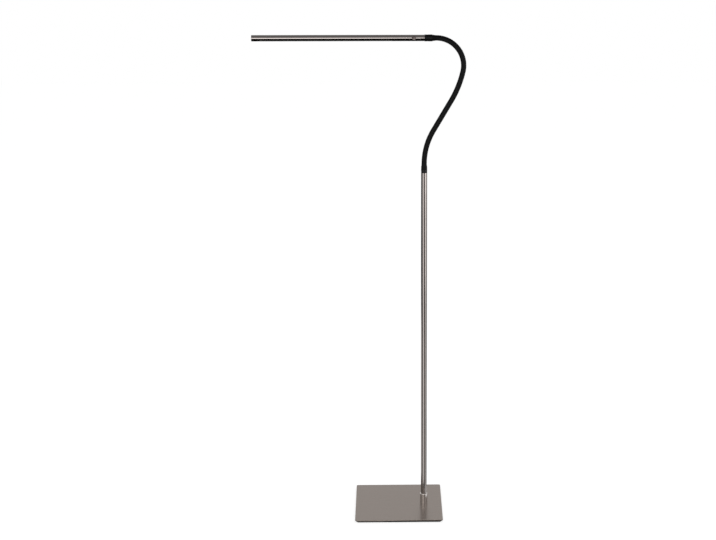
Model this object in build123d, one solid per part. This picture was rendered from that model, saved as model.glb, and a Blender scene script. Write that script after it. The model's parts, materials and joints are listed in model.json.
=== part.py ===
from build123d import *
import os
from math import cos, degrees, radians, sin, sqrt

# Gooseneck reading floor lamp, in millimetres. +Z is up, the camera side is -Y, and the origin is the
# centre of the base's underside on the floor. The neck lies in the XZ plane and the head points to -X.

# ---- driving dimensions: base ----
BASE_SIDE = 240.0
BASE_CORNER_R = 4.0
PLATE_THICKNESS = 7.0
PLATE_UNDERCUT = 5.0
PLATE_UNDERSIDE_CORNER_R = 1.0
PLATE_EDGE_ROUND = 1.2
PAD_THICKNESS = 2.0
PAD_SETBACK = 1.5
PAD_CORNER_R = 2.0
NUT_POCKET_D = 30.0
NUT_POCKET_DEPTH = 4.0
PAD_OPENING_MARGIN = 2.0
CABLE_CHANNEL_WIDTH = 5.4
CABLE_CHANNEL_DEPTH = 4.0
GROMMET_LENGTH = 14.0
CABLE_BORE_D = 3.4

# ---- driving dimensions: pole and its fixings ----
POLE_X = 70.0
POLE_D = 16.0
POLE_WALL = 1.2
POLE_LENGTH = 941.0
COLLAR_D = 21.0
COLLAR_HEIGHT = 27.0
COLLAR_ROUND = 1.2
NIPPLE_D = 10.0
NIPPLE_BORE_D = 7.0
NIPPLE_HEIGHT_IN_POLE = 24.0
NIPPLE_END_BELOW_NUT = 0.6
FOOT_INSERT_LENGTH = 30.0
TOP_PLUG_LENGTH = 24.0
NUT_ACROSS_FLATS = 14.0
NUT_THICKNESS = 3.0
WASHER_D = 24.0
WASHER_THICKNESS = 1.2
HOLE_CLEARANCE = 0.4
GRUB_SCREW_D = 4.0
GRUB_SOCKET_ACROSS_FLATS = 2.0
GRUB_SOCKET_DEPTH = 1.2
COLLAR_SCREW_HEIGHT = 9.0

# ---- driving dimensions: neck ----
TRIM_RING_HEIGHT = 5.6
BRIGHT_RING_HEIGHT = 1.4
BRIGHT_RING_PROUD = 0.15
NECK_RISE = 24.0
LEAN_RADIUS = 174.0
LEAN_ANGLE = 30.5
SLOPE_LENGTH = 90.0
SIDE_RADIUS = 270.0
SIDE_ANGLE = 17.5
CROWN_RADIUS = 71.5
RUN_IN = 10.0
SLEEVE_D = 14.0
SLEEVE_WALL = 1.2
LOWER_LIP_D = 16.2
LOWER_LIP_LENGTH = 6.0
UPPER_LIP_D = 15.4
UPPER_LIP_LENGTH = 14.0
CORE_D = 11.0
CORE_BORE_D = 5.0
CORE_SEAT_CLEARANCE = 0.08
CORE_RIM_WALL = 0.75
CORE_RIDGES = 3
CORE_RIDGE_WIDTH = 2.4
FERRULE_D = 13.2
FERRULE_CONE_LENGTH = 6.0
FERRULE_FLOOR = 3.0
FERRULE_SHANK_LENGTH = 20.0
JOINT_COUNT = 12

# ---- driving dimensions: head ----
CUFF_D = 17.6
CUFF_LENGTH = 20.0
CUFF_SHOULDER = 8.0
CUFF_GROOVE_WIDTH = 1.2
CUFF_GROOVE_DEPTH = 0.5
CUFF_GROOVES = (3.5, 7.0)
HEAD_D = 16.0
HEAD_WALL = 1.0
HEAD_LENGTH = 443.0
HEAD_PLUG_LENGTH = 22.0
PLUG_SCREWS_FROM_NECK = (6.5, 16.0)
CAP_DISC = 2.6
CAP_SPIGOT = 9.0
CAP_ROUND = 0.9
SLOT_WIDTH = 10.0
SLOT_FROM_TIP = 12.0
SLOT_FROM_NECK = 84.0
FIT_CLEARANCE = 0.1
LENS_FLANGE_DEPTH = 3.4
HEAT_SINK_FLOOR_Z = -1.0
HEAT_SINK_FLOOR = 1.8
HEAT_SINK_WALL = 1.6
HEAT_SINK_OPENING = 5.0
LED_BOARD_WIDTH = 10.0
LED_BOARD_THICKNESS = 1.0
LED_BOARD_TAIL = 8.0
LED_COUNT = 28
LED_LENGTH = 5.6
LED_WIDTH = 3.0
LED_HEIGHT = 0.9
SWITCH_FROM_NECK = 27.5
BUTTON_D = 8.6
BUTTON_TRAVEL = 0.8
BUTTON_PROUD = 1.2
BUTTON_DISH = 0.35
BUTTON_STEM_D = 3.0
BUTTON_FLANGE_D = 10.0
BUTTON_FLANGE_THICKNESS = 0.9
BEZEL_D = 11.4
BEZEL_WALL = 0.8
BEZEL_PROUD = 0.6
BEZEL_DEPTH = 4.0
SWITCH_SIDE = 7.0
SWITCH_FACE_Y = -2.6
BOARD_FACE_Y = 1.6
DRIVER_BOARD_THICKNESS = 1.2
DRIVER_BOARD_LENGTH = 44.0
LEAD_D = 1.2
LEAD_LAP = 4.0

# ---- places that follow from them ----
PLATE_UNDERSIDE = PAD_THICKNESS
BASE_TOP = PAD_THICKNESS + PLATE_THICKNESS
POCKET_CEILING = PLATE_UNDERSIDE + NUT_POCKET_DEPTH
POLE_TOP = BASE_TOP + POLE_LENGTH
POLE_BORE_D = POLE_D - 2 * POLE_WALL
CROWN_ANGLE = 90.0 + LEAN_ANGLE - SIDE_ANGLE
FERRULE_SEAT = TRIM_RING_HEIGHT + BRIGHT_RING_HEIGHT
HEAD_STRAIGHT = CUFF_LENGTH + RUN_IN
SLEEVE_BORE_D = SLEEVE_D - 2 * SLEEVE_WALL
HEAD_BORE_D = HEAD_D - 2 * HEAD_WALL

# The neck's centreline, from the pole's top end: each stretch is (length, radius, way it turns), where
# +1 turns towards +X, -1 towards -X, and 0 is straight.
STRETCHES = (
    (NECK_RISE, 0.0, 0),
    (LEAN_RADIUS * radians(LEAN_ANGLE), LEAN_RADIUS, 1),
    (SLOPE_LENGTH, 0.0, 0),
    (SIDE_RADIUS * radians(SIDE_ANGLE), SIDE_RADIUS, -1),
    (CROWN_RADIUS * radians(CROWN_ANGLE), CROWN_RADIUS, -1),
    (HEAD_STRAIGHT, 0.0, 0),
)
NECK_LENGTH = sum(length for length, radius, way in STRETCHES)
JOINT_PITCH = (NECK_LENGTH - NECK_RISE - HEAD_STRAIGHT) / JOINT_COUNT


def neck_point(distance):
    """(x, z, heading in degrees from +Z towards +X) of the centreline at a distance from the pole's top."""
    x, z, heading = POLE_X, POLE_TOP, 0.0
    for length, radius, way in STRETCHES:
        step = min(distance, length)
        start = radians(heading)
        if way:
            turn = way * step / radius
            x += way * radius * (cos(start) - cos(start + turn))
            z += way * radius * (sin(start + turn) - sin(start))
            heading += degrees(turn)
        else:
            x += step * sin(start)
            z += step * cos(start)
        distance -= step
        if distance <= 0:
            break
    return x, z, heading


def neck_plane(distance):
    """The plane square to the centreline: its Z runs along the neck and its Y stays the lamp's Y."""
    x, z, heading = neck_point(distance)
    angle = radians(heading)
    return Plane(origin=(x, 0, z), x_dir=(cos(angle), 0, -sin(angle)), z_dir=(sin(angle), 0, cos(angle)))


def bent_rod(radius, start, end):
    """A round rod along the neck's centreline between two distances: cylinders and pieces of torus."""
    rod = None
    reached = 0.0
    for length, bend, way in STRETCHES:
        low = max(start, reached)
        high = min(end, reached + length)
        reached += length
        if high - low < 1e-6:
            continue
        plane = neck_plane(low)
        section = plane * Circle(radius)
        if way:
            centre = plane.origin + plane.x_dir * (way * bend)
            turn = degrees((high - low) / bend)
            piece = revolve(section, Axis(centre, (0, way, 0)), revolution_arc=turn)
        else:
            piece = extrude(section, high - low, dir=plane.z_dir)
        rod = piece if rod is None else rod + piece
    return rod


def joint_distance(number):
    """How far along the neck joint 1, 2, ... stands."""
    return NECK_RISE + (number - 0.5) * JOINT_PITCH


HEAD_START_X, HEAD_Z = neck_point(NECK_LENGTH)[:2]
HEAD_TIP_X = HEAD_START_X - HEAD_LENGTH


# ---- helpers for turned and extruded pieces ----
Z_MIN = (Align.CENTER, Align.CENTER, Align.MIN)


def turned(*outline):
    """A solid turned about Z from a closed half outline of (radius, height) points."""
    points = [(radius, 0, height) for radius, height in outline]
    return revolve(make_face(Polyline(*points, close=True)), Axis.Z)


def ring(outer_d, inner_d, bottom, height):
    """A plain ring about Z."""
    body = Cylinder(outer_d / 2, height) - Cylinder(inner_d / 2, height)
    return Pos(0, 0, bottom + height / 2) * body


def along_head(section, start_x, end_x):
    """Extrudes a section, drawn as (y, z) about the head's axis, between two places along the head."""
    length = abs(end_x - start_x)
    solid = extrude(Plane.YZ * section, length, dir=(1, 0, 0))
    return Pos(min(start_x, end_x), 0, HEAD_Z) * solid


def rectangle_at(low_y, high_y, low_z, high_z):
    """A rectangle given by its edges, for sections of the head."""
    middle = Pos((low_y + high_y) / 2, (low_z + high_z) / 2)
    return middle * Rectangle(high_y - low_y, high_z - low_z)


def grub_screw(length):
    """A headless screw along Z with a hexagon socket in its top, its point at z = 0."""
    body = Pos(0, 0, length / 2) * Cylinder(GRUB_SCREW_D / 2, length)
    socket = extrude(RegularPolygon(GRUB_SOCKET_ACROSS_FLATS / 2, 6, major_radius=False), GRUB_SOCKET_DEPTH)
    return body - Pos(0, 0, length - GRUB_SOCKET_DEPTH) * socket


# ---- base ----
def plate_blank():
    """The plate's outer form: an upright land at the top and an undercut below it."""
    lower_side = BASE_SIDE - 2 * PLATE_UNDERCUT
    land_bottom = PLATE_UNDERSIDE + PLATE_UNDERCUT
    outline = RectangleRounded(BASE_SIDE, BASE_SIDE, BASE_CORNER_R)
    underside = RectangleRounded(lower_side, lower_side, PLATE_UNDERSIDE_CORNER_R)
    land = extrude(Pos(0, 0, land_bottom) * outline, BASE_TOP - land_bottom)
    land = fillet(land.faces().sort_by(Axis.Z)[-1].edges(), PLATE_EDGE_ROUND)
    undercut = loft([Pos(0, 0, PLATE_UNDERSIDE) * underside, Pos(0, 0, land_bottom) * outline], ruled=True)
    return land + undercut


def cable_channel(length):
    """The space of the cable channel, from the rear edge towards the pole."""
    middle_y = BASE_SIDE / 2 - length / 2
    middle_z = PLATE_UNDERSIDE + CABLE_CHANNEL_DEPTH / 2
    return Pos(POLE_X, middle_y, middle_z) * Box(CABLE_CHANNEL_WIDTH, length, CABLE_CHANNEL_DEPTH)


def base_plate():
    """The plate, with the nut's pocket, the nipple's hole and the cable channel cut from below."""
    pocket_middle = PLATE_UNDERSIDE + NUT_POCKET_DEPTH / 2
    pocket = Pos(POLE_X, 0, pocket_middle) * Cylinder(NUT_POCKET_D / 2, NUT_POCKET_DEPTH)
    hole = Pos(POLE_X, 0, BASE_TOP / 2) * Cylinder((NIPPLE_D + HOLE_CLEARANCE) / 2, 2 * BASE_TOP)
    return plate_blank() - pocket - hole - cable_channel(BASE_SIDE / 2)


def foot_pad():
    side = BASE_SIDE - 2 * (PLATE_UNDERCUT + PAD_SETBACK)
    pad = extrude(RectangleRounded(side, side, PAD_CORNER_R), PAD_THICKNESS)
    opening_r = NUT_POCKET_D / 2 + PAD_OPENING_MARGIN
    return pad - Pos(POLE_X, 0, PAD_THICKNESS / 2) * Cylinder(opening_r, PAD_THICKNESS)


def cable_grommet():
    """The rubber bush that fills the channel's rear end, cut flush with the plate's undercut edge."""
    bush = cable_channel(GROMMET_LENGTH) & plate_blank()
    bore_z = PLATE_UNDERSIDE + CABLE_CHANNEL_DEPTH / 2
    bore = Pos(POLE_X, BASE_SIDE / 2, bore_z) * Rot(90, 0, 0) * Cylinder(CABLE_BORE_D / 2, 2 * GROMMET_LENGTH)
    return bush - bore


def base_washer():
    washer = ring(WASHER_D, NIPPLE_D + HOLE_CLEARANCE, POCKET_CEILING - WASHER_THICKNESS, WASHER_THICKNESS)
    return Pos(POLE_X, 0, 0) * washer


def nut_bottom():
    return POCKET_CEILING - WASHER_THICKNESS - NUT_THICKNESS


def base_nut():
    nut = extrude(RegularPolygon(NUT_ACROSS_FLATS / 2, 6, major_radius=False), NUT_THICKNESS)
    nut -= Pos(0, 0, NUT_THICKNESS / 2) * Cylinder(NIPPLE_D / 2, NUT_THICKNESS)
    return Pos(POLE_X, 0, nut_bottom()) * nut


def threaded_nipple():
    bottom = nut_bottom() - NIPPLE_END_BELOW_NUT
    top = BASE_TOP + NIPPLE_HEIGHT_IN_POLE
    return Pos(POLE_X, 0, 0) * ring(NIPPLE_D, NIPPLE_BORE_D, bottom, top - bottom)


# ---- pole ----
def pole_foot_insert():
    return Pos(POLE_X, 0, 0) * ring(POLE_BORE_D, NIPPLE_D, BASE_TOP, FOOT_INSERT_LENGTH)


def pole_tube():
    return Pos(POLE_X, 0, 0) * ring(POLE_D, POLE_BORE_D, BASE_TOP, POLE_LENGTH)


def collar_screw_place():
    """The radial hole at the back of the collar: local Z points out from the pole."""
    return Pos(POLE_X, 0, BASE_TOP + COLLAR_SCREW_HEIGHT) * Rot(-90, 0, 0) * Pos(0, 0, POLE_D / 2)


def pole_collar():
    collar = ring(COLLAR_D, POLE_D, BASE_TOP, COLLAR_HEIGHT)
    top_edge = collar.edges().filter_by(GeomType.CIRCLE).group_by(Axis.Z)[-1].sort_by(SortBy.RADIUS)[-1]
    collar = Pos(POLE_X, 0, 0) * fillet(top_edge, COLLAR_ROUND)
    wall = (COLLAR_D - POLE_D) / 2
    screw_hole = collar_screw_place() * Pos(0, 0, wall) * Cylinder(GRUB_SCREW_D / 2, 2 * wall)
    return collar - screw_hole


def collar_screw():
    return collar_screw_place() * grub_screw((COLLAR_D - POLE_D) / 2)


def pole_top_plug():
    return Pos(POLE_X, 0, 0) * ring(POLE_BORE_D, NIPPLE_D, POLE_TOP - TOP_PLUG_LENGTH, TOP_PLUG_LENGTH)


def lower_trim_ring():
    return Pos(POLE_X, 0, 0) * ring(POLE_D, NIPPLE_D, POLE_TOP, TRIM_RING_HEIGHT)


def lower_bright_ring():
    outer = LOWER_LIP_D + 2 * BRIGHT_RING_PROUD
    return Pos(POLE_X, 0, 0) * ring(outer, NIPPLE_D, POLE_TOP + TRIM_RING_HEIGHT, BRIGHT_RING_HEIGHT)


# ---- neck ends: local z = 0 on the pole's or the head tube's end face, and +z along the neck ----
LOWER_END = Location(neck_plane(0))
UPPER_END = Location(Plane(origin=(HEAD_START_X, 0, HEAD_Z), x_dir=(0, 0, -1), z_dir=(1, 0, 0)))


def end_ferrule(seat, end):
    """A turned ferrule: a shank that screws in, and a socket for the core with a coned mouth outside."""
    shank_r = NIPPLE_D / 2
    bore_r = NIPPLE_BORE_D / 2
    socket_floor = seat + FERRULE_FLOOR
    return turned(
        (bore_r, seat - FERRULE_SHANK_LENGTH),
        (shank_r, seat - FERRULE_SHANK_LENGTH),
        (shank_r, seat),
        (FERRULE_D / 2, seat),
        (FERRULE_D / 2, end - FERRULE_CONE_LENGTH),
        (SLEEVE_BORE_D / 2, end),
        (CORE_D / 2, end),
        (CORE_D / 2, socket_floor),
        (bore_r, socket_floor),
    )


def end_sleeve(seat, end, lip_d, lip_length):
    """The end of the rubber sleeve, stretched over its ferrule, easing down to the neck's own diameter."""
    lip_r = lip_d / 2
    lip_end = seat + lip_length
    neck_r = SLEEVE_D / 2
    middle = ((lip_r + neck_r) / 2, 0, (lip_end + end) / 2)
    outline = Polyline(
        (neck_r, 0, end),
        (SLEEVE_BORE_D / 2, 0, end),
        (FERRULE_D / 2, 0, end - FERRULE_CONE_LENGTH),
        (FERRULE_D / 2, 0, seat),
        (lip_r, 0, seat),
        (lip_r, 0, lip_end),
    )
    outer_ease = TangentArc((lip_r, 0, lip_end), middle, tangent=(0, 0, 1))
    inner_ease = TangentArc((neck_r, 0, end), middle, tangent=(0, 0, -1))
    return revolve(make_face(outline.edges() + outer_ease.edges() + inner_ease.edges()), Axis.Z)


def lower_ferrule():
    return LOWER_END * end_ferrule(FERRULE_SEAT, NECK_RISE)


def upper_ferrule():
    return UPPER_END * end_ferrule(CUFF_SHOULDER, HEAD_STRAIGHT)


# ---- neck: lengths of core and sleeve, one of each to a moving link ----
def seat_height():
    """How far above its joint a core's spherical seat begins, so that its rim keeps its wall."""
    rim_r = CORE_D / 2 - CORE_RIM_WALL
    return sqrt((CORE_D / 2) ** 2 - rim_r**2)


def core_length(number):
    """One length of the bent core. Its top is a dome about the next joint, which seats in the spherical
    hollow of the next length, and its ridges, turns of the wound wire, carry the sleeve."""
    first, last = number == 0, number == JOINT_COUNT
    start = FERRULE_SEAT + FERRULE_FLOOR if first else joint_distance(number)
    end = NECK_LENGTH - CUFF_SHOULDER - FERRULE_FLOOR if last else joint_distance(number + 1)
    body_start = start if first else start + seat_height()
    core = bent_rod(CORE_D / 2, body_start, end)
    ridge_low = NECK_RISE if first else body_start
    ridge_high = NECK_LENGTH - HEAD_STRAIGHT if last else end
    ridge_step = JOINT_PITCH / (CORE_RIDGES + 1)
    count = max(1, round((ridge_high - ridge_low) / ridge_step) - 1)
    for index in range(count):
        middle = ridge_low + (ridge_high - ridge_low) * (index + 1) / (count + 1)
        core += bent_rod(SLEEVE_BORE_D / 2, middle - CORE_RIDGE_WIDTH / 2, middle + CORE_RIDGE_WIDTH / 2)
    if not last:
        dome = Sphere(CORE_D / 2, arc_size1=0, align=Z_MIN)
        core += Location(neck_plane(end)) * dome
    if not first:
        core -= Location(neck_plane(start)) * Sphere(CORE_D / 2 + CORE_SEAT_CLEARANCE)
    bore_end = end if last else end + CORE_D
    return core - bent_rod(CORE_BORE_D / 2, start, bore_end)


def sleeve_length(number):
    """The sleeve round one length of core, cut square at the joints. The end ones cover the ferrules."""
    first, last = number == 0, number == JOINT_COUNT
    start = NECK_RISE if first else joint_distance(number)
    end = NECK_LENGTH - HEAD_STRAIGHT if last else joint_distance(number + 1)
    sleeve = bent_rod(SLEEVE_D / 2, start, end) - bent_rod(SLEEVE_BORE_D / 2, start, end)
    if first:
        sleeve += LOWER_END * end_sleeve(FERRULE_SEAT, NECK_RISE, LOWER_LIP_D, LOWER_LIP_LENGTH)
    if last:
        sleeve += UPPER_END * end_sleeve(CUFF_SHOULDER, HEAD_STRAIGHT, UPPER_LIP_D, UPPER_LIP_LENGTH)
    return sleeve


# ---- head: cuff, plug and tube ----
def head_cuff():
    """The black cuff between neck and head: bored for the ferrule's shank, and wider for the sleeve."""
    outer_r = CUFF_D / 2
    outline = [(NIPPLE_D / 2, 0), (outer_r, 0)]
    for low in CUFF_GROOVES:
        high = low + CUFF_GROOVE_WIDTH
        floor_r = outer_r - CUFF_GROOVE_DEPTH
        outline += [(outer_r, low), (floor_r, low), (floor_r, high), (outer_r, high)]
    outline += [
        (outer_r, CUFF_LENGTH),
        (UPPER_LIP_D / 2, CUFF_LENGTH),
        (UPPER_LIP_D / 2, CUFF_SHOULDER),
        (NIPPLE_D / 2, CUFF_SHOULDER),
    ]
    return UPPER_END * turned(*outline)


def plug_screw_places():
    """Two radial holes at the back of the head tube that hold its plug: local Z points outwards."""
    for distance in PLUG_SCREWS_FROM_NECK:
        yield Pos(HEAD_START_X - distance, 0, HEAD_Z) * Rot(-90, 0, 0)


def head_plug():
    section = Circle(HEAD_BORE_D / 2) - Circle(NIPPLE_D / 2)
    plug = along_head(section, HEAD_START_X - HEAD_PLUG_LENGTH, HEAD_START_X)
    for place in plug_screw_places():
        plug -= place * Pos(0, 0, HEAD_D / 2) * Cylinder(GRUB_SCREW_D / 2, HEAD_D)
    return plug


def plug_screws():
    screw = Pos(0, 0, NIPPLE_D / 2) * grub_screw((HEAD_D - NIPPLE_D) / 2)
    return Compound(children=[place * screw for place in plug_screw_places()])


SWITCH_X = HEAD_START_X - SWITCH_FROM_NECK
SLOT_START_X = HEAD_TIP_X + SLOT_FROM_TIP
SLOT_END_X = HEAD_START_X - SLOT_FROM_NECK


def head_tube():
    tube = along_head(Circle(HEAD_D / 2) - Circle(HEAD_BORE_D / 2), HEAD_TIP_X, HEAD_START_X)
    slot = rectangle_at(-SLOT_WIDTH / 2, SLOT_WIDTH / 2, -HEAD_D, 0)
    tube -= along_head(slot, SLOT_START_X, SLOT_END_X)
    for place in plug_screw_places():
        tube -= place * Pos(0, 0, HEAD_D / 2) * Cylinder(GRUB_SCREW_D / 2, HEAD_WALL * 4)
    return tube - switch_place() * Cylinder(bezel_shank_r(), HEAD_D / 2 + BUTTON_PROUD, align=Z_MIN)


def end_cap():
    """The tip's cap: a disc with a rounded rim and a spigot inside the tube."""
    disc = Pos(0, 0, CAP_DISC / 2) * Cylinder(HEAD_D / 2, CAP_DISC)
    disc = fillet(disc.edges().filter_by(GeomType.CIRCLE).sort_by(Axis.Z)[-1], CAP_ROUND)
    spigot = Pos(0, 0, -CAP_SPIGOT / 2) * Cylinder(HEAD_BORE_D / 2, CAP_SPIGOT)
    return Location(Plane(origin=(HEAD_TIP_X, 0, HEAD_Z), z_dir=(-1, 0, 0))) * (disc + spigot)


# ---- head: light source ----
def heat_sink():
    """An extrusion that lies against the tube's upper wall, open along its top, with a flat floor."""
    outer_r = HEAD_BORE_D / 2
    shell = Circle(outer_r) - Circle(outer_r - HEAT_SINK_WALL)
    shell -= rectangle_at(-outer_r, outer_r, -outer_r, HEAT_SINK_FLOOR_Z)
    shell -= rectangle_at(-HEAT_SINK_OPENING / 2, HEAT_SINK_OPENING / 2, 0, outer_r)
    floor_top = HEAT_SINK_FLOOR_Z + HEAT_SINK_FLOOR
    floor = Circle(outer_r) & rectangle_at(-outer_r, outer_r, HEAT_SINK_FLOOR_Z, floor_top)
    return along_head(shell + floor, SLOT_START_X, SLOT_END_X)


def led_board():
    top = HEAT_SINK_FLOOR_Z
    section = rectangle_at(-LED_BOARD_WIDTH / 2, LED_BOARD_WIDTH / 2, top - LED_BOARD_THICKNESS, top)
    return along_head(section, SLOT_START_X, SLOT_END_X + LED_BOARD_TAIL)


def leds():
    """A row of flat surface-mount LEDs along the board, spaced evenly."""
    top = HEAT_SINK_FLOOR_Z - LED_BOARD_THICKNESS
    section = rectangle_at(-LED_WIDTH / 2, LED_WIDTH / 2, top - LED_HEIGHT, top)
    pitch = (SLOT_END_X - SLOT_START_X) / LED_COUNT
    middles = [SLOT_START_X + (index + 0.5) * pitch for index in range(LED_COUNT)]
    return Compound(children=[along_head(section, x - LED_LENGTH / 2, x + LED_LENGTH / 2) for x in middles])


def light_diffuser():
    """A milky lens that fills the slot flush with the tube, with a flange that rests inside it."""
    inner_r = HEAD_BORE_D / 2
    flange_top = LENS_FLANGE_DEPTH - inner_r
    flange = Circle(inner_r) & rectangle_at(-inner_r, inner_r, -inner_r, flange_top)
    half_width = SLOT_WIDTH / 2 - FIT_CLEARANCE
    face = Circle(HEAD_D / 2) & rectangle_at(-half_width, half_width, -HEAD_D, flange_top)
    return along_head(flange + face, SLOT_START_X, SLOT_END_X)


# ---- head: switch ----
def switch_place():
    """On the head's axis at the switch: local Z points out to the front."""
    return Pos(SWITCH_X, 0, HEAD_Z) * Rot(90, 0, 0)


def bezel_shank_r():
    return BUTTON_D / 2 + FIT_CLEARANCE + BEZEL_WALL


def bezel_inner_end():
    """Distance of the bezel's inner end from the head's axis."""
    return HEAD_D / 2 + BEZEL_PROUD - BEZEL_DEPTH


def switch_bezel():
    """The ring that lines the hole in the tube: a shank, and a rim that follows the tube's surface."""
    bore = Cylinder(BUTTON_D / 2 + FIT_CLEARANCE, HEAD_D, align=Z_MIN)
    shank = Pos(0, 0, bezel_inner_end()) * Cylinder(bezel_shank_r(), BEZEL_DEPTH, align=Z_MIN)
    rim = Cylinder(BEZEL_D / 2, HEAD_D, align=Z_MIN)
    rim &= Rot(0, 90, 0) * (Cylinder(HEAD_D / 2 + BEZEL_PROUD, BEZEL_D) - Cylinder(HEAD_D / 2, BEZEL_D))
    inside = Rot(0, 90, 0) * Cylinder(HEAD_D / 2 + BEZEL_PROUD, BEZEL_D)
    return switch_place() * ((shank & inside) + rim - bore)


def switch_button():
    """The push button: a dished cap, a flange behind the bezel and a stem into the switch."""
    face = HEAD_D / 2 + BUTTON_PROUD
    flange_top = bezel_inner_end()
    flange_bottom = flange_top - BUTTON_FLANGE_THICKNESS
    stem_end = -SWITCH_FACE_Y - BUTTON_TRAVEL
    cap = Pos(0, 0, flange_top) * Cylinder(BUTTON_D / 2, face - flange_top, align=Z_MIN)
    dish_r = ((BUTTON_D / 2) ** 2 + BUTTON_DISH**2) / (2 * BUTTON_DISH)
    cap -= Pos(0, 0, face - BUTTON_DISH + dish_r) * Sphere(dish_r)
    flange = Pos(0, 0, flange_bottom) * Cylinder(BUTTON_FLANGE_D / 2, BUTTON_FLANGE_THICKNESS, align=Z_MIN)
    stem = Pos(0, 0, stem_end) * Cylinder(BUTTON_STEM_D / 2, flange_bottom - stem_end, align=Z_MIN)
    return switch_place() * (cap + flange + stem)


def switch_body():
    """The push switch on the driver board, with the guide hole that the button's stem runs in."""
    depth = BOARD_FACE_Y - SWITCH_FACE_Y
    body = Pos(0, 0, -BOARD_FACE_Y) * Box(SWITCH_SIDE, SWITCH_SIDE, depth, align=Z_MIN)
    guide_depth = 3 * BUTTON_TRAVEL
    guide = Cylinder(BUTTON_STEM_D / 2 + FIT_CLEARANCE, guide_depth, align=Z_MIN)
    return switch_place() * (body - Pos(0, 0, -SWITCH_FACE_Y - guide_depth) * guide)


BOARD_BACK_Y = BOARD_FACE_Y + DRIVER_BOARD_THICKNESS
DRIVER_BOARD_START_X = HEAD_START_X - HEAD_PLUG_LENGTH
DRIVER_BOARD_END_X = DRIVER_BOARD_START_X - DRIVER_BOARD_LENGTH


def driver_board():
    """The small upright board that carries the switch, held in the tube by its upper and lower edges."""
    bore_r = HEAD_BORE_D / 2
    section = Circle(bore_r) & rectangle_at(BOARD_FACE_Y, BOARD_BACK_Y, -bore_r, bore_r)
    return along_head(section, DRIVER_BOARD_END_X, DRIVER_BOARD_START_X)


def board_leads():
    """Two straight leads, one on each face of the driver board, that lie on the LED board's tail."""
    lead_r = LEAD_D / 2
    start_x = SLOT_END_X + LED_BOARD_TAIL - LEAD_LAP
    end_x = DRIVER_BOARD_END_X + LEAD_LAP
    middles = (BOARD_FACE_Y - lead_r, BOARD_BACK_Y + lead_r)
    sections = [Pos(y, HEAT_SINK_FLOOR_Z + lead_r) * Circle(lead_r) for y in middles]
    return Compound(children=[along_head(section, start_x, end_x) for section in sections])


# ---- write one file per piece ----
PIECES = {
    "foot_pad": foot_pad,
    "base_plate": base_plate,
    "cable_grommet": cable_grommet,
    "base_washer": base_washer,
    "base_nut": base_nut,
    "threaded_nipple": threaded_nipple,
    "pole_foot_insert": pole_foot_insert,
    "pole_tube": pole_tube,
    "pole_collar": pole_collar,
    "collar_screw": collar_screw,
    "pole_top_plug": pole_top_plug,
    "lower_trim_ring": lower_trim_ring,
    "lower_bright_ring": lower_bright_ring,
    "lower_ferrule": lower_ferrule,
    "upper_ferrule": upper_ferrule,
    "head_cuff": head_cuff,
    "head_plug": head_plug,
    "plug_screws": plug_screws,
    "head_tube": head_tube,
    "end_cap": end_cap,
    "heat_sink": heat_sink,
    "led_board": led_board,
    "leds": leds,
    "light_diffuser": light_diffuser,
    "switch_bezel": switch_bezel,
    "switch_button": switch_button,
    "switch_body": switch_body,
    "driver_board": driver_board,
    "board_leads": board_leads,
}

os.makedirs("parts", exist_ok=True)
for name, make in PIECES.items():
    export_step(make(), f"parts/{name}.step")
for number in range(JOINT_COUNT + 1):
    export_step(core_length(number), f"parts/neck_core_{number:02d}.step")
    export_step(sleeve_length(number), f"parts/neck_sleeve_{number:02d}.step")
print("neck length", round(NECK_LENGTH, 1), "joint pitch", round(JOINT_PITCH, 2))
print("head axis height", round(HEAD_Z, 1), "head from x", round(HEAD_TIP_X, 1), "to", round(HEAD_START_X, 1))
for number in range(1, JOINT_COUNT + 1):
    x, z, heading = neck_point(joint_distance(number))
    print("joint", number, "x", round(x, 3), "z", round(z, 3), "heading", round(heading, 3))
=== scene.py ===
# %% [markdown]
# # A gooseneck reading floor lamp
# A square plate of brushed nickel carries a slim pole. A black gooseneck rises from the pole's end and holds
# a long, round light bar level over the plate. What is left for this file is what the eye judges, which is
# the rubber that bends, the finishes, the light and the camera.

# %% Load the lamp
import json
from math import cos, degrees, pi, radians, sin

import bpy
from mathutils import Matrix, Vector


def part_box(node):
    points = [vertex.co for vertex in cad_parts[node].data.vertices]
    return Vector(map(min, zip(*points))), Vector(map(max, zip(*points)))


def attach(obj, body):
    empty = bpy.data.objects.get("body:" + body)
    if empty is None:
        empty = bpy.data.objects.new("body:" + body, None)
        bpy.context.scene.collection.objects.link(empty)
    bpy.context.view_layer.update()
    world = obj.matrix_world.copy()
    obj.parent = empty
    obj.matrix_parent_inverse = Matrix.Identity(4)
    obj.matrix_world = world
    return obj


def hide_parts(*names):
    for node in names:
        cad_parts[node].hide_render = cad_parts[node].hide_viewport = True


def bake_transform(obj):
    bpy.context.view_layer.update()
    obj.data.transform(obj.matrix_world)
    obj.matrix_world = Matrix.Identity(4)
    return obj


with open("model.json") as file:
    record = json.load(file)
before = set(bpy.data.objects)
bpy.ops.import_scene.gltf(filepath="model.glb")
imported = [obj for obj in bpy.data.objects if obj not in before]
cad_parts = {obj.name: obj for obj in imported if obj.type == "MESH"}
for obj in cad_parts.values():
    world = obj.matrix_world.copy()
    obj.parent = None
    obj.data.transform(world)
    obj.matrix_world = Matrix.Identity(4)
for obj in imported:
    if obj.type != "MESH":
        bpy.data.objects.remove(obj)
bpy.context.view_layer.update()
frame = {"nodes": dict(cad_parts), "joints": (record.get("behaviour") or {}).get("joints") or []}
nodes = frame["nodes"]
bpy.ops.object.select_all(action="DESELECT")
MM = 0.001

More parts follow.
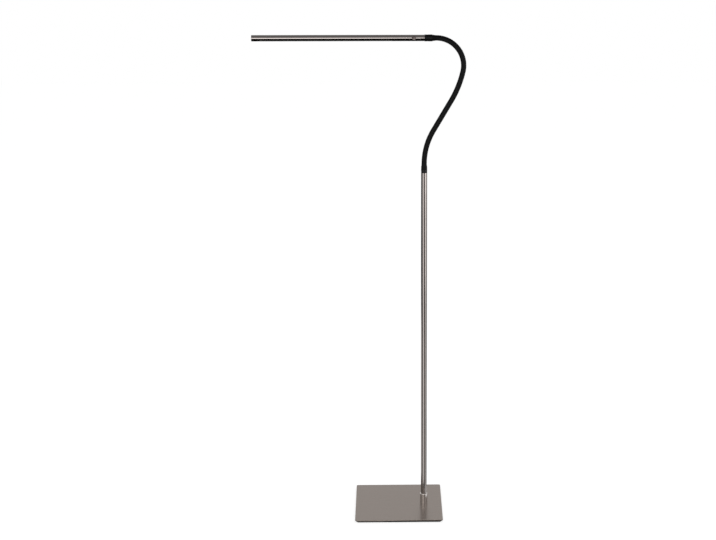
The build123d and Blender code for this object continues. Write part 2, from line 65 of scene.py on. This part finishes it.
# %% [markdown]
# ## The camera
# The picture to match was taken from the front, a little above the lamp's head, with a long lens. Its pole
# stands upright although the camera looks down, so the picture is the part of a wider one that lay beside
# the lens's axis. A lens shift gives the same. The place and the angles come from fitting a camera to the
# plate's corners, the pole, the neck and the ends of the light bar.

# %% Set the camera
CAMERA_PLACE = Vector((-0.0252, -3.8846, 1.7594))
CAMERA_YAW = radians(1.087)
CAMERA_PITCH = radians(15.478)
FOCAL_LENGTH_MM = 75.47
SENSOR_WIDTH_MM = 36.0
LENS_SHIFT = -0.0810

bpy.ops.object.camera_add()
camera = bpy.context.object
camera.name = "camera"
camera.data.sensor_width = SENSOR_WIDTH_MM
camera.data.lens = FOCAL_LENGTH_MM
camera.data.shift_x = LENS_SHIFT
camera.location = CAMERA_PLACE
camera.rotation_euler = (pi / 2 - CAMERA_PITCH, 0, -CAMERA_YAW)
scene = bpy.context.scene
scene.camera = camera
scene.view_settings.view_transform = "Standard"
print("camera looks down", round(degrees(CAMERA_PITCH), 1), "degrees")

# %% [markdown]
# ## The studio
# Metal has hardly a colour of its own: it shows the room. A tube in a plain white room looks flat, so a
# photographer sets tall softboxes beside the camera, which draw bright lines along a tube, and leaves the
# room dark between them. The same is done here. The background is white for the camera and for glossy and
# transmitted rays, and a dimmer grey fills the shadows for all other rays.

# %% Make the room
WHITE = (1.0, 1.0, 1.0, 1.0)
FILL_LEVEL = 0.55


def value_node(tree, kind, place, **settings):
    """Adds a shader node at a place in the editor and sets its properties."""
    node = tree.nodes.new(kind)
    node.location = place
    for key, value in settings.items():
        setattr(node, key, value)
    return node


def background_rays(tree):
    """The output that is 1 for rays that should see the white background, and 0 for the others."""
    path = value_node(tree, "ShaderNodeLightPath", (-900, 300))
    mirrored = value_node(tree, "ShaderNodeMath", (-650, 300), operation="MAXIMUM")
    seen = value_node(tree, "ShaderNodeMath", (-450, 300), operation="MAXIMUM")
    tree.links.new(path.outputs["Is Glossy Ray"], mirrored.inputs[0])
    tree.links.new(path.outputs["Is Transmission Ray"], mirrored.inputs[1])
    tree.links.new(mirrored.outputs[0], seen.inputs[0])
    tree.links.new(path.outputs["Is Camera Ray"], seen.inputs[1])
    return seen.outputs[0]


world = bpy.data.worlds.new("studio")
world.use_nodes = True
scene.world = world
tree = world.node_tree
tree.nodes.clear()
room_fill = value_node(tree, "ShaderNodeBackground", (-200, 200))
room_fill.inputs["Color"].default_value = WHITE
room_fill.inputs["Strength"].default_value = FILL_LEVEL
backdrop = value_node(tree, "ShaderNodeBackground", (-200, 0))
backdrop.inputs["Color"].default_value = WHITE
choose = value_node(tree, "ShaderNodeMixShader", (50, 100))
world_output = value_node(tree, "ShaderNodeOutputWorld", (250, 100))
tree.links.new(background_rays(tree), choose.inputs["Fac"])
tree.links.new(room_fill.outputs[0], choose.inputs[1])
tree.links.new(backdrop.outputs[0], choose.inputs[2])
tree.links.new(choose.outputs[0], world_output.inputs["Surface"])
print("world set, fill level", FILL_LEVEL)

# %% [markdown]
# ## The floor
# The floor is a plain pale sheet. It could shine by itself to be white, but then the lamp would float on it,
# because a shining floor takes no shadow. So it is matt, white to the camera and a little darker to the
# light that bounces.

# %% Lay the floor
FLOOR_SIZE = 16.0
FLOOR_GREY = (0.6, 0.6, 0.6, 1.0)
FLOOR_GLOW = 0.67

bpy.ops.mesh.primitive_plane_add(size=FLOOR_SIZE, location=(0, 0, 0))
floor = bpy.context.object
floor.name = "floor"
floor_paint = bpy.data.materials.new("floor_paint")
floor_paint.use_nodes = True
tree = floor_paint.node_tree
shader = tree.nodes["Principled BSDF"]
shader.inputs["Roughness"].default_value = 1.0
shader.inputs["Specular IOR Level"].default_value = 0.0
shader.inputs["Base Color"].default_value = FLOOR_GREY
shader.inputs["Emission Color"].default_value = WHITE
glow = value_node(tree, "ShaderNodeMath", (-220, 200), operation="MULTIPLY")
glow.inputs[1].default_value = FLOOR_GLOW
tree.links.new(background_rays(tree), glow.inputs[0])
tree.links.new(glow.outputs[0], shader.inputs["Emission Strength"])
floor.data.materials.append(floor_paint)
print("floor", FLOOR_SIZE, "m square")

# %% [markdown]
# ## Softboxes
# A lamp's power is worked out from how bright its face should look in the metal. An evenly lit face of
# brightness 1 and area A sends out pi times A watts.

# %% Set the softboxes
POLE_FOOT = Vector((0.07, 0.0, 0.0))


def around_pole(azimuth, distance, height):
    """A point around the pole. Azimuth 0 is the camera's side and 90 is +X, in degrees."""
    angle = radians(azimuth)
    return POLE_FOOT + Vector((sin(angle) * distance, -cos(angle) * distance, height))


def softbox(name, azimuth, distance, low, high, width, brightness):
    """An upright softbox that faces the pole."""
    bpy.ops.object.light_add(type="AREA", location=around_pole(azimuth, distance, (low + high) / 2))
    lamp = bpy.context.object
    lamp.name = name
    lamp.rotation_euler = (pi / 2, 0, radians(azimuth))
    lamp.data.shape = "RECTANGLE"
    lamp.data.size = width
    lamp.data.size_y = high - low
    lamp.data.energy = brightness * pi * width * (high - low)
    lamp.visible_camera = False
    return lamp


softbox("softbox_left", azimuth=-17.5, distance=2.6, low=0.85, high=1.95, width=1.85, brightness=3.0)
softbox("softbox_right", azimuth=61, distance=2.6, low=0.3, high=1.9, width=1.9, brightness=1.6)

# %% [markdown]
# ## Cards
# Near a metal tube a photographer lays black cards, called flags, and white ones, called reflectors. Nobody
# sees them in the picture, only in the metal, as the dark and bright lines that make a tube look round. Here
# a card is a sheet that only glossy rays meet, so it takes no light from the lamp and casts no shadow. Its
# glow is how bright it looks in the metal, where 1 is as bright as the background.
#
# The camera looks down, so the pole mirrors the floor: its foot mirrors the floor close by, and its top the
# floor some metres away. So the pole's cards lie on the floor like the slices of a cake. There the plate
# can't mirror them, and it stays plain from every side. Only two reflectors stand up, for the pole's foot.
#
# The light bar lies level, so it mirrors strips that lie level beside it: a black one just below its axis,
# which gives the dark lower half with a sharp edge, and a grey one just above. A wide black sheet in front
# of the plate gives its front edge the dark line of the photo.

# %% Set the cards
# Name, first and last azimuth in degrees, nearest and farthest distance from the pole, glow.
FLOOR_CARDS = (
    ("flag_far_left", -178, -84, 2.49, 7.0, 0.0),
    ("flag_left_near", -81, -39, 0.165, 0.5, 0.25),
    ("flag_left_middle", -81, -39, 0.5, 2.24, 0.15),
    ("flag_left_far", -81, -39, 2.24, 3.68, 0.55),
    ("reflector_front", -37, -1, 0.165, 7.0, 2.2),
    ("flag_front_near", 0, 40, 0.165, 1.59, 0.3),
    ("flag_front_far", 0, 40, 1.59, 7.0, 0.0),
    ("reflector_right_near", 43, 84, 0.165, 2.24, 1.35),
    ("reflector_right_far", 43, 84, 2.24, 7.0, 2.6),
    ("flag_right_near", 88, 165, 0.165, 0.8, 0.1),
    ("flag_right_far", 88, 165, 0.8, 7.0, 0.35),
)
# Name, first and last azimuth in degrees, distance from the pole, lowest and highest point, glow.
UPRIGHT_CARDS = (
    ("reflector_foot_left", -37, -1, 0.5, 0.0, 0.3, 2.2),
    ("reflector_foot_right", 43, 84, 0.5, 0.0, 0.3, 1.3),
)
HEAD_AXIS = (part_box("head_tube")[0].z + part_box("head_tube")[1].z) / 2
STRIP_OFFSET = 0.012
# Name, low corner, high corner, height, glow.
LEVEL_CARDS = (
    ("flag_base", (-0.2, -0.4), (0.2, -0.108), 0.0005, 0.0),
    ("flag_head", (-0.42, -0.065), (0.100, 0.052), HEAD_AXIS - STRIP_OFFSET, 0.0),
    ("ceiling_head", (-0.42, -0.03), (0.17, 0.098), HEAD_AXIS + STRIP_OFFSET, 0.42),
)
FLOOR_CARD_HEIGHT = 0.002


def card(name, corners, glow):
    """A sheet through four corners that shows only in reflections."""
    bpy.ops.mesh.primitive_plane_add(size=1.0)
    sheet = bpy.context.object
    sheet.name = name
    for vertex, corner in zip(sheet.data.vertices, (corners[0], corners[1], corners[3], corners[2])):
        vertex.co = corner
    paper = bpy.data.materials.new(name)
    paper.use_nodes = True
    shader = paper.node_tree.nodes["Principled BSDF"]
    shader.inputs["Base Color"].default_value = (0, 0, 0, 1)
    shader.inputs["Specular IOR Level"].default_value = 0.0
    shader.inputs["Emission Color"].default_value = WHITE
    shader.inputs["Emission Strength"].default_value = glow
    sheet.data.materials.append(paper)
    sheet.visible_camera = False
    sheet.visible_diffuse = False
    sheet.visible_shadow = False
    sheet.visible_transmission = False
    return sheet


def floor_card(name, start, end, near, far, glow):
    """A slice of the floor round the pole, from one azimuth and distance to another."""
    places = ((start, near), (end, near), (end, far), (start, far))
    return card(name, [around_pole(a, r, FLOOR_CARD_HEIGHT) for a, r in places], glow)


def upright_card(name, start, end, distance, low, high, glow):
    """A card that stands at a distance from the pole, from one azimuth to another."""
    places = ((start, low), (end, low), (end, high), (start, high))
    return card(name, [around_pole(a, distance, h) for a, h in places], glow)


def level_card(name, low_corner, high_corner, height, glow):
    """A card that lies level between two corners."""
    (x0, y0), (x1, y1) = low_corner, high_corner
    return card(name, [(x0, y0, height), (x1, y0, height), (x1, y1, height), (x0, y1, height)], glow)


for settings in FLOOR_CARDS:
    floor_card(*settings)
for settings in UPRIGHT_CARDS:
    upright_card(*settings)
for settings in LEVEL_CARDS:
    level_card(*settings)
print("cards", len(FLOOR_CARDS) + len(UPRIGHT_CARDS) + len(LEVEL_CARDS))

# %% [markdown]
# ## Finishes
# Every finish starts from one Principled shader. Numbers that are the same all over a surface are set on
# the shader itself, and only what varies, such as fine scratches, comes from texture nodes.

# %% A helper for finishes
def new_finish(name, color, roughness, metallic=0.0, **sockets):
    """A Principled material with its plain values set. Returns (material, tree, shader)."""
    material = bpy.data.materials.new(name)
    material.use_nodes = True
    tree = material.node_tree
    shader = tree.nodes["Principled BSDF"]
    shader.inputs["Base Color"].default_value = (*color, 1.0)
    shader.inputs["Roughness"].default_value = roughness
    shader.inputs["Metallic"].default_value = metallic
    for socket, value in sockets.items():
        shader.inputs[socket.replace("_", " ")].default_value = value
    return material, tree, shader


def grain(tree, stretch, scale, detail=3.0):
    """A noise value in Object coordinates, squeezed along each axis by the numbers in stretch."""
    place = value_node(tree, "ShaderNodeTexCoord", (-1300, -200))
    squeeze = value_node(tree, "ShaderNodeMapping", (-1100, -200))
    squeeze.inputs["Scale"].default_value = stretch
    noise = value_node(tree, "ShaderNodeTexNoise", (-900, -200))
    noise.inputs["Scale"].default_value = scale
    noise.inputs["Detail"].default_value = detail
    tree.links.new(place.outputs["Object"], squeeze.inputs["Vector"])
    tree.links.new(squeeze.outputs["Vector"], noise.inputs["Vector"])
    return noise.outputs["Fac"]


def spread(tree, source, low, high, place):
    """Maps a noise value from about 0.3 to 0.7 onto the range from low to high."""
    remap = value_node(tree, "ShaderNodeMapRange", place)
    remap.inputs["From Min"].default_value = 0.3
    remap.inputs["From Max"].default_value = 0.7
    remap.inputs["To Min"].default_value = low
    remap.inputs["To Max"].default_value = high
    tree.links.new(source, remap.inputs["Value"])
    return remap.outputs["Result"]


def bump(tree, shader, source, depth):
    """Raises and lowers the surface by a noise value times depth, in metres."""
    relief = value_node(tree, "ShaderNodeBump", (-350, -400))
    relief.inputs["Strength"].default_value = 1.0
    relief.inputs["Distance"].default_value = depth
    tree.links.new(source, relief.inputs["Height"])
    tree.links.new(relief.outputs["Normal"], shader.inputs["Normal"])


def dress(material, *names):
    """Gives CAD nodes a finish in place of their plain one."""
    for name in names:
        slots = nodes[name].data.materials
        slots.clear()
        slots.append(material)


# The tube nickel is painted darker than real nickel, as painted shade for the dim room that real metal
# mirrors. The collar and plate nickels are a lighter and a darker copy of it.
TUBE_NICKEL = (0.238, 0.214, 0.203)
# The collar's nickel is the tube nickel painted lighter: a painted highlight.
COLLAR_NICKEL_PAINTED_HIGHLIGHT = (0.500, 0.470, 0.452)
# The plate's nickel is the tube nickel painted darker: painted shade.
PLATE_NICKEL_PAINTED_SHADE = (0.228, 0.195, 0.174)
print("helpers ready")

# %% [markdown]
# ## Brushed nickel
# The tubes are brushed while they spin, so fine lines run round them. Such lines smear a reflection along
# the tube and leave it sharp across it. A strong bump would do that only in a close view, so the smear
# comes from the shader's anisotropy, with its tangent round the tube turned a quarter. The nickel is painted
# darker than real nickel, as painted shade for the dim room that real metal mirrors. The collar at the pole's
# foot is the same nickel painted lighter, a painted highlight for the bright lines it shows.

# %% Brushed tubes
ROUGHNESS_WANDER = 0.015
SMEAR = 0.75


def brushed_tube(name, color, axis, stretch, roughness):
    """Nickel brushed round a tube that runs along the named axis."""
    material, tree, shader = new_finish(
        name, color, roughness, metallic=1.0, Anisotropic=SMEAR, Anisotropic_Rotation=0.25
    )
    around = value_node(tree, "ShaderNodeTangent", (-350, -650), direction_type="RADIAL", axis=axis)
    tree.links.new(around.outputs["Tangent"], shader.inputs["Tangent"])
    lines = grain(tree, stretch, scale=60.0, detail=2.0)
    low, high = roughness - ROUGHNESS_WANDER, roughness + ROUGHNESS_WANDER
    tree.links.new(spread(tree, lines, low, high, (-600, -100)), shader.inputs["Roughness"])
    return material


dress(brushed_tube("nickel_upright", TUBE_NICKEL, "Z", (1, 1, 40), 0.12), "pole_tube")
# The collar's lighter nickel is a painted highlight.
dress(brushed_tube("nickel_collar_painted_highlight", COLLAR_NICKEL_PAINTED_HIGHLIGHT, "Z", (1, 1, 40), 0.14), "pole_collar")
dress(brushed_tube("nickel_level", TUBE_NICKEL, "X", (40, 1, 1), 0.12), "head_tube", "end_cap")
print("tubes dressed")

# %% [markdown]
# ## The brushed plate
# The plate is brushed in straight strokes from left to right. Its lines are much longer than wide, so the
# noise is squeezed along Y and stretched along X. The tangent is the cross product of each face's normal
# with the strokes, so that it lies in the face. The strokes lean a little off X, because on a face that
# looks straight along X the product would be zero.

# %% Brushed plate
STROKES = (1.0, 0.03, 0.03)
PLATE_ROUGHNESS = 0.30
PLATE_WANDER = 0.03


def brushed_plate():
    """Nickel brushed in straight strokes, for the plate."""
    # The plate's darker nickel is painted shade.
    material, tree, shader = new_finish(
        "plate_nickel_painted_shade", PLATE_NICKEL_PAINTED_SHADE, PLATE_ROUGHNESS, metallic=1.0, Anisotropic=0.6
    )
    facing = value_node(tree, "ShaderNodeNewGeometry", (-600, -650))
    across = value_node(tree, "ShaderNodeVectorMath", (-350, -650), operation="CROSS_PRODUCT")
    across.inputs[1].default_value = STROKES
    tree.links.new(facing.outputs["Normal"], across.inputs[0])
    tree.links.new(across.outputs["Vector"], shader.inputs["Tangent"])
    lines = grain(tree, (1, 60, 1), scale=12.0, detail=4.0)
    low, high = PLATE_ROUGHNESS - PLATE_WANDER, PLATE_ROUGHNESS + PLATE_WANDER
    tree.links.new(spread(tree, lines, low, high, (-600, -100)), shader.inputs["Roughness"])
    bump(tree, shader, lines, 2e-6)
    return material


dress(brushed_plate(), "base_plate")
print("plate dressed")

# %% [markdown]
# ## Rubber, plastic and the small parts
# Black rubber is never quite black: a faint grey shine runs along it. The plastic of the rings is a little
# smoother. The light is off and nothing inside shows through the lens. Its milky plastic is painted a dull
# grey, as painted shade for the dark underside of the head.

# %% Other finishes
MOTTLE_SCALE = 900.0
BLACK = (0.0025, 0.0025, 0.0028)


def mottled(name, color, roughness, wander, depth, **sockets):
    """A moulded surface: a fine even mottle that varies the shine and lifts the surface a little."""
    material, tree, shader = new_finish(name, color, roughness, **sockets)
    cloud = grain(tree, (1, 1, 1), scale=MOTTLE_SCALE)
    low, high = roughness - wander, roughness + wander
    tree.links.new(spread(tree, cloud, low, high, (-600, -100)), shader.inputs["Roughness"])
    bump(tree, shader, cloud, depth)
    return material


neck_rubber = mottled("neck_rubber", BLACK, 0.45, 0.05, 6e-6, Specular_IOR_Level=0.07)
pad_rubber = mottled("pad_rubber", (0.014, 0.014, 0.014), 0.75, 0.08, 3e-5)
satin_black = mottled("satin_black", BLACK, 0.38, 0.04, 4e-6, Specular_IOR_Level=0.12)
plain_steel = mottled("plain_steel", (0.50, 0.50, 0.51), 0.34, 0.06, 6e-6, metallic=1.0)
black_nickel = mottled("black_nickel", (0.035, 0.035, 0.036), 0.30, 0.04, 2e-6, metallic=1.0)
button_metal = mottled("button_metal", (0.120, 0.100, 0.095), 0.45, 0.04, 2e-6, metallic=1.0)
aluminium = mottled("extruded_aluminium", (0.75, 0.75, 0.76), 0.38, 0.06, 6e-6, metallic=1.0)
white_board = mottled("white_board", (0.80, 0.80, 0.77), 0.40, 0.04, 4e-6)
green_board = mottled("green_board", (0.03, 0.16, 0.08), 0.35, 0.04, 4e-6)
led_face = mottled("led_face", (0.80, 0.62, 0.16), 0.45, 0.04, 4e-6)
lead_cover = mottled("lead_cover", (0.03, 0.03, 0.03), 0.45, 0.04, 4e-6)
# The lens's dull grey is painted shade for the dark underside of the head.
milky_lens = mottled("milky_lens", (0.24, 0.24, 0.235), 0.36, 0.04, 4e-6)

dress(pad_rubber, "foot_pad", "cable_grommet")
dress(satin_black, "lower_trim_ring", "head_cuff", "switch_body")
dress(black_nickel, "lower_bright_ring")
dress(button_metal, "switch_bezel", "switch_button")
dress(plain_steel, "base_washer", "base_nut", "threaded_nipple", "pole_foot_insert", "collar_screw")
dress(plain_steel, "pole_top_plug", "lower_ferrule", "upper_ferrule", "head_plug", "plug_screws")
dress(plain_steel, *[name for name in nodes if name.startswith("neck_core")])
dress(aluminium, "heat_sink")
dress(white_board, "led_board")
dress(led_face, "leds")
dress(green_board, "driver_board")
dress(lead_cover, "board_leads")
dress(milky_lens, "light_diffuser")
print("finishes", len(bpy.data.materials))

# %% [markdown]
# ## The neck's path
# The sleeve follows the neck's centreline, which is made of straight stretches and round bends. Each is a
# length, a radius and the way it turns: 1 to the right, -1 to the left, 0 straight on. The lamp's own neck
# joints lie on that line, so their places check it.

# %% Describe the neck
POLE_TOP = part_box("pole_tube")[1].z
POLE_X = (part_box("pole_tube")[0].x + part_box("pole_tube")[1].x) / 2
NECK_RISE = 24.0 * MM
LEAN_RADIUS = 174.0 * MM
LEAN_ANGLE = radians(30.5)
SLOPE_LENGTH = 90.0 * MM
SIDE_RADIUS = 270.0 * MM
SIDE_ANGLE = radians(17.5)
CROWN_RADIUS = 71.5 * MM
CROWN_ANGLE = pi / 2 + LEAN_ANGLE - SIDE_ANGLE
HEAD_STRAIGHT = 30.0 * MM
STRETCHES = (
    (NECK_RISE, 0.0, 0),
    (LEAN_RADIUS * LEAN_ANGLE, LEAN_RADIUS, 1),
    (SLOPE_LENGTH, 0.0, 0),
    (SIDE_RADIUS * SIDE_ANGLE, SIDE_RADIUS, -1),
    (CROWN_RADIUS * CROWN_ANGLE, CROWN_RADIUS, -1),
    (HEAD_STRAIGHT, 0.0, 0),
)
NECK_LENGTH = sum(length for length, radius, way in STRETCHES)
neck_joints = [joint for joint in frame["joints"] if joint["name"].startswith("neck_")]
PITCH = (NECK_LENGTH - NECK_RISE - HEAD_STRAIGHT) / len(neck_joints)


def neck_place(distance):
    """(point, heading) of the centreline at a distance from the pole's end; heading 0 is straight up."""
    point, heading = Vector((POLE_X, 0, POLE_TOP)), 0.0
    for length, radius, way in STRETCHES:
        step = min(distance, length)
        if way:
            turn = way * step / radius
            dx = way * radius * (cos(heading) - cos(heading + turn))
            dz = way * radius * (sin(heading + turn) - sin(heading))
            heading += turn
        else:
            dx, dz = step * sin(heading), step * cos(heading)
        point = point + Vector((dx, 0, dz))
        distance -= step
        if distance <= 0:
            break
    return point, heading


off = []
for index, joint in enumerate(neck_joints):
    middle = neck_place(NECK_RISE + (index + 0.5) * PITCH)[0]
    off.append((middle - Vector(joint["pos_m"])).length)
print("neck", round(NECK_LENGTH / MM, 1), "mm; joints off the line by at most", round(max(off) / MM, 4), "mm")

# %% [markdown]
# ## The rubber sleeve
# On the real lamp one rubber sleeve covers the whole neck. A single mesh can't follow thirteen moving
# bodies, so the sleeve is made in lengths that run from the middle of one link to the middle of the next,
# with the joint halfway. Each length starts as a circle that is extruded along the straights and spun round
# the bends' centres. Solidify gives it a wall. Its sharp rims are then kept out of the smooth shading, or a
# dark crease would show at each cut.
#
# A bend is the same from either link, but not in rounded numbers. With all joints at their limits a few
# lengths tear when they are described from the near link. These are listed, but every length is baked in
# place alike.

# %% Model the sleeve's lengths
SLEEVE_RADIUS = 7.0 * MM
SLEEVE_WALL = 1.0 * MM
SLEEVE_SIDES = 48
RING_STEP = 1.7 * MM
TINY = 1e-6
EDGE_ANGLE = radians(40)
BENT_FROM_FAR_LINK = (6, 7, 10, 12)


def edit_ring(point, heading, radius, sides):
    """Adds a circle square to the neck at a point, and leaves it selected in edit mode."""
    bpy.ops.mesh.primitive_circle_add(
        vertices=sides, radius=radius, location=point, rotation=(0, heading, 0)
    )
    bpy.ops.object.transform_apply(location=True, rotation=True, scale=True)
    bpy.ops.object.mode_set(mode="EDIT")
    bpy.ops.mesh.select_all(action="SELECT")


def run_along_neck(start, end):
    """Extrudes or spins the selected ring along the neck's centreline from one distance to another.

    A bend to the right turns about +Y, but spin counts its angle the other way round, hence the -way."""
    reached = 0.0
    for length, radius, way in STRETCHES:
        low, high = max(start, reached), min(end, reached + length)
        reached += length
        if high - low < TINY:
            continue
        steps = max(2, round((high - low) / RING_STEP))
        point, heading = neck_place(low)
        if way:
            centre = point + way * radius * Vector((cos(heading), 0, -sin(heading)))
            turn = (high - low) / radius
            bpy.ops.mesh.spin(steps=steps, angle=turn, center=centre, axis=(0, -way, 0))
        else:
            move = Vector((sin(heading), 0, cos(heading))) * (high - low) / steps
            for _ in range(steps):
                bpy.ops.mesh.extrude_region_move(TRANSFORM_OT_translate={"value": move})


def finish_piece(name, material):
    """Leaves edit mode with outward normals and smooth shading, and names the piece."""
    bpy.ops.mesh.select_all(action="SELECT")
    bpy.ops.mesh.remove_doubles(threshold=TINY)
    bpy.ops.mesh.normals_make_consistent(inside=False)
    bpy.ops.object.mode_set(mode="OBJECT")
    bpy.ops.object.shade_smooth()
    piece = bpy.context.object
    piece.name = name
    piece.data.name = name
    piece.data.materials.append(material)
    return piece


def thicken(piece):
    """Gives a piece its wall, inwards, and keeps the sharp rims out of the smooth shading."""
    wall = piece.modifiers.new("wall", "SOLIDIFY")
    wall.thickness = SLEEVE_WALL
    wall.offset = -1.0
    bpy.context.view_layer.objects.active = piece
    bpy.ops.object.modifier_apply(modifier=wall.name)
    bpy.ops.object.shade_smooth_by_angle(angle=EDGE_ANGLE)


def sleeve_piece(number):
    """The sleeve across neck joint 1, 2, ..., from mid link to mid link."""
    start = NECK_RISE + (number - 1) * PITCH
    end = start + PITCH
    point, heading = neck_place(start)
    edit_ring(point, heading, SLEEVE_RADIUS, SLEEVE_SIDES)
    run_along_neck(start, end)
    piece = finish_piece(f"sleeve_{number:02d}", neck_rubber)
    thicken(piece)
    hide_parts(f"neck_sleeve_{number:02d}")
    near, far = neck_place(start + RING_STEP)[0], neck_place(end - RING_STEP)[0]
    if number in BENT_FROM_FAR_LINK:
        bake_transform(piece)
    else:
        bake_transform(piece)
    return piece


sleeves = [sleeve_piece(number + 1) for number in range(len(neck_joints))]
print("sleeve lengths", len(sleeves), "faces each", len(sleeves[0].data.polygons))

# %% [markdown]
# ## The sleeve's ends
# At both ends the rubber is stretched over a ferrule, so it flares and then eases down to the neck's own
# thickness. The flare is one soft S-shaped ease, made ring by ring: extrude, then scale the new ring.

# %% Model the flared ends
LOWER_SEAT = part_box("lower_bright_ring")[1].z - POLE_TOP
LOWER_LIP_RADIUS = 8.1 * MM
LOWER_LIP_LENGTH = 6.0 * MM
UPPER_SEAT = 8.0 * MM
UPPER_LIP_RADIUS = 8.1 * MM
UPPER_LIP_LENGTH = 12.0 * MM
LIP_ROUND = 0.5 * MM
EASE_STEPS = 14


def grow_ring(move, factor, centre):
    """Extrudes the selected ring by a move and scales the new ring about its own centre."""
    bpy.ops.mesh.extrude_region_move(TRANSFORM_OT_translate={"value": move})
    bpy.ops.transform.resize(value=(factor, factor, factor), center_override=centre)


def flared_end(name, foot, heading, seat, lip_radius, lip_length, reach, body, node):
    """A sleeve end on a ferrule, from its lip at the seat to the neck's own radius at its reach."""
    along = Vector((sin(heading), 0, cos(heading)))
    profile = [
        (seat, lip_radius - LIP_ROUND),
        (seat + LIP_ROUND, lip_radius),
        (seat + lip_length, lip_radius),
    ]
    for step in range(1, EASE_STEPS + 1):
        share = step / EASE_STEPS
        ease = share * share * (3 - 2 * share)
        height = seat + lip_length + share * (reach - seat - lip_length)
        profile.append((height, lip_radius + ease * (SLEEVE_RADIUS - lip_radius)))
    height, radius = profile[0]
    edit_ring(foot + along * height, heading, radius, SLEEVE_SIDES)
    for new_height, new_radius in profile[1:]:
        centre = foot + along * new_height
        grow_ring(along * (new_height - height), new_radius / radius, centre)
        height, radius = new_height, new_radius
    piece = finish_piece(name, neck_rubber)
    thicken(piece)
    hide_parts(node)
    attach(piece, body)
    return piece


pole_end = Vector((POLE_X, 0, POLE_TOP))
head_start = neck_place(NECK_LENGTH)[0]
flared_end(
    "sleeve_foot",
    pole_end,
    heading=0.0,
    seat=LOWER_SEAT,
    lip_radius=LOWER_LIP_RADIUS,
    lip_length=LOWER_LIP_LENGTH,
    reach=NECK_RISE,
    body="stand",
    node="neck_sleeve_00",
)
flared_end(
    "sleeve_tip",
    head_start,
    heading=pi / 2,
    seat=UPPER_SEAT,
    lip_radius=UPPER_LIP_RADIUS,
    lip_length=UPPER_LIP_LENGTH,
    reach=HEAD_STRAIGHT,
    body="head",
    node="neck_sleeve_12",
)
print("sleeve ends made")
